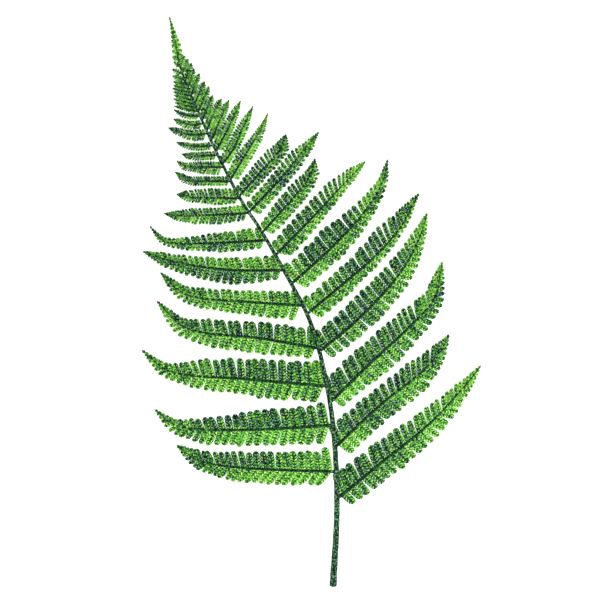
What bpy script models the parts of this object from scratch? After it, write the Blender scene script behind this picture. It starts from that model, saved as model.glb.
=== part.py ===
"""A bracken frond, picked and laid on a surface with its upper side up.

The frond grew as one leaf, so it is one solid: the cut stem, which runs on as the rachis, and
the pinnae on both sides of it. Each pinna is one thin arched blade, cut to its rib into leaflets.

Plan measures are in millimetres from the cut end of the stem, X to the right and Y up the frond.
The finished solid is in metres, +Z up, with its origin at the bottom centre of its box.
"""

import math
import random
from collections import namedtuple

import bpy
from mathutils import Vector

MM = 0.001
SEED = 11

# The stem and rachis, in millimetres
STEM_LINE = (
    (0, 0.0), (51, 2.6), (98, 0.9), (138, -4.7), (178, -15.7), (211, -32.7), (238, -48.3),
    (258, -61.3), (285, -75.3), (311, -87.3), (345, -101.3), (365, -105.3), (380, -109.0),
)  # (height, sideways place)
FROND_HEIGHT = STEM_LINE[-1][0]
TIP_RADIUS = 0.4
RACHIS_RADIUS = 1.9
RACHIS_TAPER = 0.75  # under 1, so that it keeps its thickness and slims towards the tip
FOOT_FLARE = 0.45
FLARE_HEIGHT = 25.0
LYING_HEIGHT = 45.0  # up to here the stem lies on the surface
RACHIS_LIFT = 10.0
LIFT_CURVE = 1.5
STEM_SIDES = 8
RING_PITCH = 14.0
SHARP_DEG = 50.0  # edges sharper than this are shaded as edges

# A pinna's blade, in millimetres
BLADE = 0.7
RIB_HALF_WIDTH = (0.35, 0.85)  # on the shortest pinna and on the longest
RIB_RISE = 0.45
RIB_TAPER = 0.75  # the share of its width that the rib loses by its tip
RIB_END = 0.985  # the last notch, as a share of the rib
LONGEST = 130.0
PATH_STEPS = 80
FIRST_LEAFLET = 1.2  # clear of the rachis
ARCH_SHARE = 0.05  # how high a pinna arches, for its length
ARCH_RANGE = (0.7, 1.2)
FALL_CURVE = 1.5  # a rib keeps its root's height for a while, then falls to its tip's
HOVER = 3.0  # the most that a tip hangs over the surface
DROOP_DEG = 17.0
DROOP_CURVE = 1.4
DROP_LIMIT = 0.55  # a leaflet drops by at most this share of its rib's height

# A leaflet: its angle from the rib, at the root and at the tip of left (-1) and right (1) pinnae,
# and its two corners, as shares of its pitch along the rib and of its length
UPPER_SWEEP_DEG = {-1: (80.0, 70.0), 1: (82.0, 76.0)}
LOWER_SWEEP_DEG = {-1: (74.0, 60.0), 1: (92.0, 72.0)}
SHOULDER = (-0.44, 0.88)
TOE = (0.36, 1.0)
FIRST_LONGER = 1.22  # the first upper leaflet of a long pinna
LONG_PINNA = 100.0
PITCH_TAPER = 0.35
MIDDLE_SHARE = 0.4
OUTER_SHARE = 0.75
CLOSING = 1.15  # how a pinna narrows past there: under 1 it rounds, over 1 it runs to a point
SMALL_PINNA = 12  # a pinna with this many leaflets or fewer is cut more coarsely
SMALL_SHARE = 0.5
LARGE_SHARE = 0.58

Pinna = namedtuple("Pinna", "side root bends tip upper lower leaflets")

# Each row: where the pinna leaves the rachis, the points that its rib bends through, its tip, how
# long its upper and its lower leaflets are at its root, at two fifths and at three quarters of
# its length, and how many leaflets it has on a side
LEFT = [
    Pinna(-1, *row)
    for row in (
        (77, ((-56, 79.4), (-88.5, 84)), (-104.7, 94.7), (13.5, 9.5, 9), (12.5, 13, 10), 23),
        (108, ((-62, 105), (-103, 107.5)), (-119.5, 119), (13, 13, 6.5), (12.5, 13, 9), 23),
        (134, ((-57, 138.7), (-108, 143.7)), (-128, 158.3), (14.5, 14.5, 8.5), (12, 14.5, 9.5), 25),
        (159, ((-48, 165.8), (-97, 172.3)), (-117.7, 191), (11, 12, 6.5), (11, 12.5, 8.5), 24),
        (187.5, ((-58, 190.2), (-97, 194.8)), (-115.5, 210), (8.5, 8.7, 7), (10.5, 10, 7.5), 22),
        (211, ((-68, 211.3), (-104, 216.4)), (-127.3, 223.8), (9, 8, 7.5), (8, 11, 8), 22),
        (231, ((-76, 229.3), (-111, 229.9)), (-122.5, 240.9), (8, 8, 5), (7.5, 8, 4.5), 18),
        (249, ((-77, 248), (-100, 247.2)), (-113, 249), (5.5, 6.5, 5), (6.5, 7.5, 5.5), 18),
        (258.7, ((-80, 259.2), (-95, 259.7)), (-104.5, 261.8), (5.5, 6, 5), (4, 4.5, 3.5), 13),
        (270, ((-85.3, 270.3), (-97, 271)), (-105.2, 276.5), (3.3, 3.3, 3), (3, 3, 2.7), 12),
        (279.5, ((-85, 279.7), (-98, 280.3)), (-104.2, 284), (3.3, 3.3, 2.7), (5, 4.3, 3), 11),
        (287.5, ((-90, 287),), (-100.9, 288.5), (2.7, 2.7, 2.3), (3, 3, 2.5), 9),
        (294, ((-92, 293.3),), (-104.5, 296.5), (2.5, 2.5, 2.2), (2.6, 2.6, 2.3), 9),
        (302, ((-96, 301.3),), (-109.7, 306), (3.3, 3.3, 2.8), (3.8, 3.8, 3), 10),
        (308.5, ((-96, 308),), (-106.3, 312), (2.7, 2.7, 2.3), (3, 3, 2.5), 8),
        (313.5, ((-98, 314),), (-106, 318), (2, 2, 1.8), (2, 2, 1.8), 6),
        (316.5, (), (-105.7, 320.5), (1.3, 1.3, 1.2), (1.3, 1.3, 1.2), 5),
        (319, (), (-105.3, 322.8), (1.3, 1.3, 1.2), (1.3, 1.3, 1.2), 5),
        (321.5, (), (-106.3, 325.3), (1.3, 1.3, 1.2), (1.3, 1.3, 1.2), 5),
        (324, (), (-106, 327.7), (1.3, 1.3, 1.2), (1.3, 1.3, 1.2), 5),
        (326.7, (), (-106.3, 330), (1.3, 1.3, 1.2), (1.3, 1.3, 1.2), 4),
        (329.3, (), (-107, 332.3), (1.3, 1.3, 1.2), (1.3, 1.3, 1.2), 4),
        (332, (), (-106.3, 334.3), (1.3, 1.3, 1.2), (1.3, 1.3, 1.2), 4),
        (334.5, (), (-106.3, 336.8), (1.3, 1.3, 1.2), (1.3, 1.3, 1.2), 4),
        (337.3, (), (-107, 340.7), (1.4, 1.4, 1.3), (1.4, 1.4, 1.3), 4),
        (341.3, (), (-107, 345), (1.4, 1.4, 1.3), (1.4, 1.4, 1.3), 4),
        (346, (), (-106, 350.3), (1.4, 1.4, 1.3), (1.4, 1.4, 1.3), 3),
    )
]
RIGHT = [
    Pinna(1, *row)
    for row in (
        (58.7, ((32, 83), (64, 109), (88.9, 135.5)), (99, 148.3), (14, 12.5, 5.5), (9.5, 13, 11.5), 25),
        (93, ((31.3, 121.5), (56, 141), (70, 155.3)), (77.7, 168.7), (12, 10.7, 9), (11, 12.5, 9.5), 21),
        (123, ((24.7, 149.4), (50.4, 173.3), (67, 192)), (73, 217.5), (12.5, 12.7, 7.5), (11, 14, 7.8), 26),
        (157, ((18.5, 180.5), (44, 208.5), (57, 231.3)), (63, 250), (12.5, 12.5, 8), (10, 13, 8), 24),
        (182, ((3, 199), (28.5, 221), (45, 240)), (57.6, 262.7), (9, 12.5, 7), (9, 10.5, 6.2), 22),
        (202, ((-1.6, 225.5), (19.7, 248.5), (32, 268)), (36.7, 285.5), (11.5, 11.5, 6), (10, 12, 7), 20),
        (221, ((-18.5, 241), (3, 264)), (22, 284), (8.3, 10, 6.5), (8.5, 9, 5.7), 18),
        (236, ((-27, 258.5), (-15, 274)), (-12, 286), (5.6, 6.8, 5.3), (6.3, 7.2, 6.5), 14),
        (249.5, ((-34, 273), (-19, 291.7)), (-9.2, 303.7), (5.1, 6.4, 4.5), (6, 6.4, 4.9), 16),
        (260, ((-48, 276.5), (-36, 290.5)), (-31.2, 302), (5.3, 6.2, 5.3), (4.9, 6.6, 6.2), 14),
        (271, ((-59, 286.5), (-48.5, 304.3)), (-43.3, 316), (4.5, 5, 2.5), (3.5, 4, 3), 15),
        (281.5, ((-66, 292), (-58, 310.5)), (-53.2, 320.7), (4.3, 5, 3), (3, 3.3, 2.5), 13),
        (290, ((-72, 301), (-66.2, 313)), (-61.5, 324), (4, 4.5, 3), (4, 4, 3), 11),
        (297, ((-75.3, 311),), (-69.4, 324.7), (3.3, 3.3, 2.7), (2.9, 2.9, 2.5), 9),
        (303.5, ((-79.3, 316),), (-74.3, 325.5), (3, 3, 2.5), (3, 3, 2.5), 8),
        (310.5, ((-83.3, 320),), (-80.2, 327.8), (2.7, 2.7, 2.3), (2.7, 2.7, 2.3), 7),
        (316.3, ((-86.3, 325),), (-82.6, 333.7), (2.4, 2.4, 2), (2.4, 2.4, 2), 6),
        (321.5, ((-89, 329.5),), (-85.6, 337), (2.2, 2.2, 1.9), (2.2, 2.2, 1.9), 6),
        (327, ((-92, 335.3),), (-88.9, 342.3), (2, 2, 1.7), (2, 2, 1.7), 5),
        (332.3, (), (-92.7, 345.6), (1.8, 1.8, 1.5), (1.8, 1.8, 1.5), 4),
        (337, (), (-94.3, 349.2), (1.6, 1.6, 1.4), (1.6, 1.6, 1.4), 4),
        (342, (), (-96.6, 352), (1.5, 1.5, 1.3), (1.5, 1.5, 1.3), 3),
        (346.5, (), (-98.8, 354), (1.4, 1.4, 1.3), (1.4, 1.4, 1.3), 3),
    )
]
TERMINAL_ROOT = 349.0  # from here the rachis itself carries lobes
TERMINAL_LOBE = (5.4, 3.6, 2.0)
TERMINAL_SWEEP_DEG = (44.0, 38.0)
TERMINAL_LOBES = 7


def along_table(table, y):
    """Smooth value at y through a table of (y, value), as a cubic with the slopes of its neighbours."""
    i = max(0, min(len(table) - 2, sum(1 for place, _ in table[1:-1] if place <= y)))
    (y0, a), (y1, b) = table[i], table[i + 1]
    before, after = table[max(i - 1, 0)], table[min(i + 2, len(table) - 1)]
    slope0 = (b - before[1]) / (y1 - before[0])
    slope1 = (after[1] - a) / (after[0] - y0)
    span = y1 - y0
    t = (y - y0) / span
    return (
        a * (1 + 2 * t) * (1 - t) ** 2
        + b * t * t * (3 - 2 * t)
        + span * t * (1 - t) * (slope0 * (1 - t) - slope1 * t)
    )


def mix(pair, t):
    return pair[0] + (pair[1] - pair[0]) * t


def smooth_step(t):
    t = max(0.0, min(1.0, t))
    return t * t * (3 - 2 * t)


def rachis_radius(y):
    left = max(0.0, 1 - y / FROND_HEIGHT)
    slim = (RACHIS_RADIUS - TIP_RADIUS) * left**RACHIS_TAPER
    return TIP_RADIUS + slim + FOOT_FLARE * math.exp(-y / FLARE_HEIGHT)


def rachis_point(y):
    """Centre of the rachis at height y: it lies on the surface, then arches and comes down at the tip."""
    share = max(0.0, min(1.0, (y - LYING_HEIGHT) / (FROND_HEIGHT - LYING_HEIGHT)))
    lift = RACHIS_LIFT * math.sin(math.pi * share) ** LIFT_CURVE if 0 < share < 1 else 0.0
    seat = rachis_radius(y) * math.cos(math.pi / STEM_SIDES)
    return Vector((along_table(STEM_LINE, y), y, seat + lift))


def plan_heading(a, b):
    return (b - a).to_2d().normalized()


def closed_object(name, points, faces):
    mesh = bpy.data.meshes.new(name)
    mesh.from_pydata([Vector(p) * MM for p in points], [], faces)
    mesh.validate()
    made = bpy.data.objects.new(name, mesh)
    bpy.context.scene.collection.objects.link(made)
    return made


def make_rachis():
    """A tube of flat-bottomed rings: where it lies, its lowest side is a flat strip on the surface."""
    heights = [i * RING_PITCH for i in range(int(FROND_HEIGHT / RING_PITCH) + 1)] + [FROND_HEIGHT]
    points, faces = [], []
    for y in heights:
        centre = rachis_point(y)
        ahead = plan_heading(rachis_point(y - 0.5), rachis_point(y + 0.5))
        across = Vector((ahead.y, -ahead.x, 0))
        for k in range(STEM_SIDES):
            turn = 2 * math.pi * (k + 0.5) / STEM_SIDES
            out = across * math.cos(turn) + Vector((0, 0, math.sin(turn)))
            points.append(centre + out * rachis_radius(y))
    for ring in range(len(heights) - 1):
        base = ring * STEM_SIDES
        for k in range(STEM_SIDES):
            after = (k + 1) % STEM_SIDES
            faces.append((base + k, base + STEM_SIDES + k, base + STEM_SIDES + after, base + after))
    last = (len(heights) - 1) * STEM_SIDES
    faces.append(tuple(range(STEM_SIDES)))
    faces.append(tuple(reversed(range(last, last + STEM_SIDES))))
    return closed_object("rachis", points, faces)


def rib_path(leaf):
    """Plan points of a pinna's rib, from the middle of the rachis through its bends to its tip."""
    places = [rachis_point(leaf.root).to_2d(), *map(Vector, leaf.bends), Vector(leaf.tip)]
    reach = [0.0]
    for a, b in zip(places, places[1:]):
        reach.append(reach[-1] + (b - a).length)
    lines = [[(s, place[axis]) for s, place in zip(reach, places)] for axis in (0, 1)]
    distances = [reach[-1] * i / PATH_STEPS for i in range(PATH_STEPS + 1)]
    return [Vector([along_table(line, s) for line in lines]) for s in distances]


class Rib:
    """A pinna's rib: plan path by distance, and its height over the surface."""

    def __init__(self, path, root_height, tip_height, arch):
        self.path = path
        self.reach = [0.0]
        for a, b in zip(path, path[1:]):
            self.reach.append(self.reach[-1] + (b - a).length)
        self.length = self.reach[-1]
        self.heights = (root_height, tip_height)
        self.arch = arch

    def plan(self, s):
        s = max(0.0, min(self.length, s))
        i = min(len(self.path) - 2, sum(1 for r in self.reach[1:-1] if r <= s))
        t = (s - self.reach[i]) / (self.reach[i + 1] - self.reach[i])
        return self.path[i].lerp(self.path[i + 1], t)

    def ahead(self, s):
        step = self.length * 0.01
        return (self.plan(s + step) - self.plan(s - step)).normalized()

    def height(self, s):
        t = max(0.0, min(1.0, s / self.length))
        return mix(self.heights, t**FALL_CURVE) + self.arch * 4 * t * (1 - t)


def leaflet_length(row, t):
    """How long a row's leaflets are at share t of its rib."""
    root, middle, outer = row
    if t < MIDDLE_SHARE:
        return mix((root, middle), smooth_step(t / MIDDLE_SHARE))
    length = mix((middle, outer), smooth_step((t - MIDDLE_SHARE) / (OUTER_SHARE - MIDDLE_SHARE)))
    closing = max(0.0, (t - OUTER_SHARE) / (1 - OUTER_SHARE))
    return length * (1 - closing) ** CLOSING


def blade_point(rib, s, along, out, length, sweep):
    """Top of the blade: along the rib from s and out along the leaflet, dropping as it goes."""
    ahead = rib.ahead(s)
    side = Vector((ahead.x * math.cos(sweep) - ahead.y * math.sin(sweep),
                   ahead.x * math.sin(sweep) + ahead.y * math.cos(sweep)))
    place = rib.plan(s) + ahead * along + side * out
    height = rib.height(s)
    room = max(0.0, height - BLADE) * DROP_LIMIT
    drop = min(length * math.sin(math.radians(DROOP_DEG)), room)
    return Vector((place.x, place.y, height - drop * (out / length) ** DROOP_CURVE))


def stations(rib, leaflets, first):
    """Where the rib's notches are: wide apart at the root and closer towards the tip."""
    span = rib.length * RIB_END - first
    shares = [i / leaflets for i in range(leaflets + 1)]
    return [first + span * u * (1 + PITCH_TAPER * (1 - u)) for u in shares]


def make_pinna(name, rib, rows, leaflets, side, first, rib_half):
    """One thin blade: a rib strip with a raised ridge, and a row of leaflets on each side of it.
    Each of the rows is its leaflets' lengths and sweeps, the upper row first."""
    notches = stations(rib, leaflets, first)
    tops, faces = [], []

    def add(point):
        tops.append(point)
        return len(tops) - 1

    def rib_point(s, offset):
        ahead = rib.ahead(s)
        place = rib.plan(s) + Vector((-ahead.y, ahead.x)) * offset
        return add(Vector((place.x, place.y, rib.height(s))))

    taper = [rib_half * (1 - RIB_TAPER * s / rib.length) for s in notches]
    # Seen from the rachis, a right pinna has its upper row on its left hand, a left one on its right.
    lines = []
    for (row, sweeps), hand in zip(rows, (side, -side)):
        line = [[rib_point(0.0, hand * rib_half)]]
        for i in range(leaflets):
            line.append([rib_point(notches[i], hand * taper[i])])
            middle = (notches[i] + notches[i + 1]) / 2
            pitch = notches[i + 1] - notches[i]
            share = middle / rib.length
            sweep = math.radians(mix(sweeps, share)) * hand
            length = max(leaflet_length(row, share), rib_half)
            if i == 0 and hand == side and rib.length > LONG_PINNA:
                length *= FIRST_LONGER
            for along, out in (SHOULDER, TOE):
                point = blade_point(rib, middle, along * pitch, out * length, length, sweep)
                line[-1].append(add(point))
        line.append([rib_point(notches[-1], hand * taper[-1])])
        lines.append(line)
    tip = add(Vector((*rib.plan(rib.length), rib.height(rib.length))))

    flat = []
    for line, hand in zip(lines, (side, -side)):
        for here, after in zip(line[1:], line[2:]):
            root, shoulder, toe = here
            for triangle in ((root, shoulder, toe), (root, toe, after[0])):
                flat.append(triangle if hand < 0 else triangle[::-1])
    left, right = lines if side > 0 else reversed(lines)
    strips = []
    for a, b, c, d in zip(right, right[1:], left, left[1:]):
        strips.append((a[0], b[0], d[0], c[0]))
    end = (right[-1][0], tip, left[-1][0])

    count = len(tops)
    points = tops + [p - Vector((0, 0, BLADE)) for p in tops]
    for triangle in flat + [end]:
        faces.append(triangle)
        faces.append(tuple(i + count for i in reversed(triangle)))
    for a, b, d, c in strips:
        ridge = sum((points[i] for i in (a, b, c, d)), Vector()) / 4
        ridge.z += RIB_RISE * rib_half / RIB_HALF_WIDTH[1]
        points.append(ridge)
        peak = len(points) - 1
        faces.extend(((a, b, peak), (b, d, peak), (d, c, peak), (c, a, peak)))
        faces.extend(((a + count, d + count, b + count), (a + count, c + count, d + count)))
    outline = [i for here in right for i in here] + [tip]
    for here in reversed(left):
        outline += here[:0:-1] + here[:1]
    for a, b in zip(outline, outline[1:] + outline[:1]):
        faces.append((b, a, a + count, b + count))
    return closed_object(name, points, faces)


def make_pinnae():
    chance = random.Random(SEED)
    made = []
    for number, leaf in enumerate(LEFT + RIGHT):
        path = rib_path(leaf)
        length = sum((b - a).length for a, b in zip(path, path[1:]))
        root_height = rachis_point(leaf.root).z + BLADE / 2
        hover = HOVER * chance.random() if number % 2 else 0.0
        arch = ARCH_SHARE * length * chance.uniform(*ARCH_RANGE)
        rib = Rib(path, root_height, BLADE + hover, arch)
        small = leaf.leaflets <= SMALL_PINNA
        leaflets = max(2, round(leaf.leaflets * (SMALL_SHARE if small else LARGE_SHARE)))
        rib_half = mix(RIB_HALF_WIDTH, min(1.0, length / LONGEST))
        first = rachis_radius(leaf.root) + FIRST_LEAFLET * rib_half
        rows = ((leaf.upper, UPPER_SWEEP_DEG[leaf.side]), (leaf.lower, LOWER_SWEEP_DEG[leaf.side]))
        made.append(make_pinna(f"pinna_{number}", rib, rows, leaflets, leaf.side, first, rib_half))
    made.append(make_terminal())
    return made


def make_terminal():
    """The lobed tip of the frond, which has the end of the rachis for its rib."""
    heights = [mix((TERMINAL_ROOT, FROND_HEIGHT), i / PATH_STEPS) for i in range(PATH_STEPS + 1)]
    path = [rachis_point(y).to_2d() for y in heights]
    root_height = rachis_point(TERMINAL_ROOT).z + BLADE / 2
    rib = Rib(path, root_height, BLADE, 0.0)
    row = (TERMINAL_LOBE, TERMINAL_SWEEP_DEG)
    return make_pinna("terminal", rib, (row, row), TERMINAL_LOBES, 1, 1.0, RIB_HALF_WIDTH[0])


def fuse(body, others):
    """One Boolean union of the body with all the others, which are then removed."""
    pieces = bpy.data.collections.new("pieces")
    bpy.context.scene.collection.children.link(pieces)
    for piece in others:
        bpy.context.scene.collection.objects.unlink(piece)
        pieces.objects.link(piece)
    union = body.modifiers.new("Union", "BOOLEAN")
    union.operation = "UNION"
    union.operand_type = "COLLECTION"
    union.collection = pieces
    union.solver = "EXACT"
    bpy.context.view_layer.update()
    whole = bpy.data.meshes.new_from_object(body.evaluated_get(bpy.context.evaluated_depsgraph_get()))
    body.modifiers.clear()
    body.data = whole
    for piece in others:
        bpy.data.objects.remove(piece)
    bpy.data.collections.remove(pieces)


def centre_on_base(body):
    """Moves the mesh so that the origin is the bottom centre of its box."""
    corners = [[f(v.co[axis] for v in body.data.vertices) for f in (min, max)] for axis in range(3)]
    (x0, x1), (y0, y1), (z0, _) = corners
    shift = Vector((-(x0 + x1) / 2, -(y0 + y1) / 2, -z0))
    for vertex in body.data.vertices:
        vertex.co += shift
    return shift


def leaf_green():
    material = bpy.data.materials.new("leaf_green")
    material.use_nodes = True
    shader = material.node_tree.nodes["Principled BSDF"]
    shader.inputs["Base Color"].default_value = (0.09, 0.27, 0.05, 1)
    shader.inputs["Roughness"].default_value = 0.5
    shader.inputs["Metallic"].default_value = 0.0
    return material


def main():
    for old in list(bpy.data.objects):
        bpy.data.objects.remove(old)
    frond = make_rachis()
    fuse(frond, make_pinnae())
    centre_on_base(frond)
    frond.name = "frond"
    frond.data.name = "frond"
    frond.data.materials.clear()
    frond.data.materials.append(leaf_green())
    frond.data.shade_smooth()
    frond.data.set_sharp_from_angle(angle=math.radians(SHARP_DEG))


main()
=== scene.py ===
"""The bracken frond dressed: stem, ribs and leaflets with their veins, puckers and greens.

Plan measures are in millimetres from the cut end of the stem, X to the right and Y up the frond,
as the frond's solid has them. The dressed leaflets lie where the solid's blades lie.
"""

import math
import random
from collections import namedtuple

import bpy
import numpy as np
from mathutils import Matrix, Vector


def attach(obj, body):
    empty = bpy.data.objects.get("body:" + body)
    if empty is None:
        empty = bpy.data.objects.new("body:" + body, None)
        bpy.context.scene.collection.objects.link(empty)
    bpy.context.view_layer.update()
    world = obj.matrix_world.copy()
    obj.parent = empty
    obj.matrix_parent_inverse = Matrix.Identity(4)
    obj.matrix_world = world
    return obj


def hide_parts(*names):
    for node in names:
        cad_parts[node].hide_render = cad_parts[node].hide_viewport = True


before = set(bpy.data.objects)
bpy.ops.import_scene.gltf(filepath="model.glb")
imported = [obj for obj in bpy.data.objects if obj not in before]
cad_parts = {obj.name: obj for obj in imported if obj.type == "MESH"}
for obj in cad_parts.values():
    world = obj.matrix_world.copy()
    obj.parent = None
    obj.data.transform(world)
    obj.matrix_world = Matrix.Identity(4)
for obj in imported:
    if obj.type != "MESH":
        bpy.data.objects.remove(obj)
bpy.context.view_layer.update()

MM = 0.001
SEED = 11  # the solid's too, so that both draw the same arches and heights
LEAFLET_SEED = 13
BOX_MIDDLE = (-14.5, 189.989)  # the middle of the frond's box in the plan

# The photograph covers VIEW_SIDE each way, and the plan point VIEW_MIDDLE is at its middle
VIEW_MIDDLE = (-22.0, 191.3)
VIEW_SIDE = 400.0
CAMERA_HEIGHT = 2600.0
SENSOR_WIDTH = 36.0
CAMERA_REACH = 20.0  # in metres

# The stem and rachis
STEM_LINE = (
    (0, 0.0), (51, 2.6), (98, 0.9), (138, -4.7), (178, -15.7), (211, -32.7), (238, -48.3),
    (258, -61.3), (285, -75.3), (311, -87.3), (345, -101.3), (365, -105.3), (380, -109.0),
)  # (height, sideways place)
FROND_HEIGHT = STEM_LINE[-1][0]
TIP_RADIUS = 0.4
RACHIS_RADIUS = 1.9
RACHIS_TAPER = 0.75  # under 1, so that it keeps its thickness and slims towards the tip
FOOT_FLARE = 0.45
FLARE_HEIGHT = 25.0
LYING_HEIGHT = 45.0  # up to here the stem lies on the surface
RACHIS_LIFT = 10.0
LIFT_CURVE = 1.5
FLAT_SIDE = math.cos(math.pi / 8)  # the underside is flattened at this share of the radius
STEM_RINGS = 420
STEM_SIDES = 20
STEM_AHEAD = 0.5  # its direction is read over this distance, both ways
STEM_SWELL = 1.08  # the dressed stem is rounder than the solid's eight sides
STEM_GROOVE = (0.16, 0.3)  # depth and width of the groove along its top, as shares of the radius
STEM_LUMP = 0.02
STEM_WAVES = (1.7, 0.5)  # how fast its lumps follow each other, in radians a millimetre
LUMPS_AROUND = 3
STEM_TIP_SHARE = 0.05  # its last ring shrinks to this share
CUT_ROUND = 1.6  # the cut end is blunt and rounded over this length
CUT_RINGS = 6
BROWN_RINGS = 5
CUT_LEAST = 0.0004  # keeps the square of the first ring's share from being nothing

# A pinna
BLADE = 0.7
SHEET = 0.32  # a dressed leaflet's thickness
RIB_HALF_WIDTH = (0.35, 0.85)  # on the shortest pinna and on the longest
RIB_SWELL = 1.35  # the dressed rib is rounder than the solid's strip
RIB_RINGS = 70
RIB_SIDES = 10
RIB_TAPER = 0.72  # the share of its width that the rib loses by its tip
TIP_RIB = 0.28  # the least half width of a rib, at its tip
RIB_GROOVE = (0.28, 0.35)  # depth and width of the groove along its top, as shares of the radius
RIB_WAVES = ((0.05, 2.1, 0.0), (0.04, 5.3, 1.0))  # (share, radians a millimetre, start)
RIB_END_SHARES = (0.02, 0.05)  # its first and last rings shrink to these shares
RIB_SINK = 0.15  # how far its middle lies under the roots of the leaflets
RIB_FLATNESS = 0.95
RIB_END = 0.995  # the last leaflet ends at this share of the rib
LONGEST = 130.0
PATH_STEPS = 80
AHEAD_STEP = 0.01  # the rib's direction is read over this share of it, both ways
FIRST_LEAFLET = 1.2  # how far clear of the rachis it starts, in the rib's half widths
ARCH_SHARE = 0.05  # how high a pinna arches, for its length
ARCH_RANGE = (0.7, 1.2)  # the least and most share of that
FALL_CURVE = 1.5  # a rib keeps its root's height for a while, then falls to its tip's
HOVER = 3.0  # the most that a tip hangs over the surface
DROOP_DEG = 17.0  # how steeply a leaflet droops from rib to end
DROOP_CURVE = 1.4
DROP_LIMIT = 0.55  # and the most that its end drops, as a share of its rib's height
DROOP_RANGE = (0.6, 1.15)  # the least and most share of that drop
PITCH_TAPER = 0.35  # their pitch is this share wider at the root, and narrower at the tip
REACH_PLACES = (0.05, 0.35, 0.65, 0.85)  # as shares of the rib
CLOSING = 0.8  # how a row narrows past the last of them
SWEEP_PLACES = (0.42, 0.92)  # between these the leaflets turn from the root's slant to the tip's
SWEEP_CHANCE = 3.0  # in degrees, either way
LENGTH_CHANCE = (0.94, 1.04)  # the least and most share of a length
LENGTH_STEPS = 8  # how often a length is corrected

# A leaflet
FIRST_LONGER = 1.15  # a long pinna's first leaflet on its upper side is longer
LONG_PINNA = 100.0
SHORTEST_LEAFLET = 0.75
LONG_LEAFLET = 5.0  # longer ones have more columns of faces
COLUMNS = (4, 8)  # of faces on a short leaflet and on a long one
LEAST_ROWS = 7
PUCKER_ROWS = 5  # of faces, on each pucker
ROW_CROWDING = 1.3  # rows of faces crowd together towards the round end
PUCKER = 1.9  # the distance between a leaflet's side veins
PUCKER_HEIGHT = 0.3
PUCKER_CURVE = 0.5
PUCKER_OUTLINE = 0.3  # no puckers where the round end is narrower than this share
VEIN_SLANT = 0.8  # how far a side vein runs forward to the edge, in puckers
MIDRIB_DEPTH = 0.22
MIDRIB_WIDTH = 0.15  # as a share of the half width
EDGE_FALL = 0.35  # how far its edges turn down
EDGE_CURVE = 3
SICKLE = (0.03, 0.13)  # how far its end bends towards the pinna's tip, as a share of its length
TURN_END = 0.3  # by this share of its length its rows have turned from the rib's way to across it
TILT_DEG = 9.0  # how far it leans to one side at most
ROUND_LENGTH = 1.15  # how long its round end is, in half widths
ROUND_MOST = 0.5  # and at most this share of its length
ROUND_CURVE = 2.5
ROUND_LEAST = 0.05  # the square of its end's width, as a share of its full width
BULGE = 0.07  # how much wider it is halfway
BULGE_END = 0.9
LEAFLET_TAPER = 0.03
EDGE_WAVE = 0.07
EDGE_WAVE_START = 0.1  # how far the waves' start strays, in waves
ROOT_SPREAD = 0.2  # how much wider it is where it joins the rib
ROOT_LENGTH = 0.08
NARROWING = 0.8  # slanting leaflets are narrower

# The gap between two leaflets at the root of a pinna and at its tip, then its least and most share.
# The upper slits are even, and in the lower rows some leaflets touch and some stand apart.
UPPER_SLIT = {-1: (0.28, 0.36, 0.6, 1.4), 1: (0.46, 0.42, 0.75, 1.25)}
LOWER_SLIT = {-1: (0.42, -0.2, 0.0, 2.0), 1: (0.58, -0.4, 0.2, 1.8)}
SLIT_SHARE = 0.27  # or this share of their pitch, where that is less
SLIT_LENGTHS = (4.2, 8.2)  # on leaflets between these lengths the gap opens
SHORT_SLIT = 0.06  # the gap between shorter leaflets, as a share of their pitch

# A leaflet's tone, partly its own green and partly painted light and shade
TONES = {"d": 0.29, "n": 0.42, "m": 0.56, "l": 0.7, "b": 0.86}
TONE_CHANCE = (0.32, 0.11)  # how far a short leaflet's tone strays, and a long one's
SHORT_PALER = 0.06  # how much brighter short leaflets are
CREST_FLOOR = 0.34  # short leaflets have weak painted shade in the grooves between their puckers, and a little painted highlight
PAINTED_LIGHT_SIDE = np.array((0.8, -0.6))  # painted light and shade: the half of a leaflet that faces this way is painted paler and the other half darker
PAINTED_LIGHT_RANGE = (0.08, 0.35)
DARKER_RANGE = (-0.15, 0.22)  # how much darker its outer part is
DARKER_FROM = 0.35  # the darker part starts at this share of its length
DARKER_OVER = 0.6
DARKER_SHARE = (0.4, 1.0)  # how strong that is at tone 0 and at tone 1

# Noise in a material: how fine it is and its detail, then the part of its range that is used, and
# the values that this part is spread over
Spots = namedtuple("Spots", "scale detail low high least most")
LEAF_DRIFT = Spots(160.0, 2.0, 0.3, 0.7, -0.1, 0.15)
LEAF_BLOTS = Spots(560.0, 1.0, 0.34, 0.66, -0.42, 0.4)
LEAF_GRAINS = Spots(1050.0, 0.0, 0.34, 0.66, -0.38, 0.4)
# The next one places the painted highlight on the puckers' crests
LEAF_HIGHLIGHT_SPOTS = Spots(900.0, 0.0, 0.46, 0.54, 0.0, 1.0)
# Breaks in the painted shade of the grooves
GROOVE_SHADE_BREAKS = Spots(760.0, 2.0, 0.4, 0.52, 0.3, 1.0)
LEAF_ROUGHNESS = Spots(800.0, 2.0, 0.3, 0.7, 0.42, 0.62)
RIB_FLECKS = Spots(700.0, 2.0, 0.34, 0.66, -0.3, 0.55)
RIB_ROUGHNESS = Spots(600.0, 2.0, 0.3, 0.7, 0.45, 0.62)
STEM_ROUGHNESS = Spots(500.0, 2.0, 0.3, 0.7, 0.45, 0.65)
STEM_FLECKS = Spots(820.0, 1.0, 0.38, 0.62, 0.0, 1.0)
STEM_FLECK_ROUGHNESS = 0.6
CUT_NOISE_SCALE = 1200.0

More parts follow.
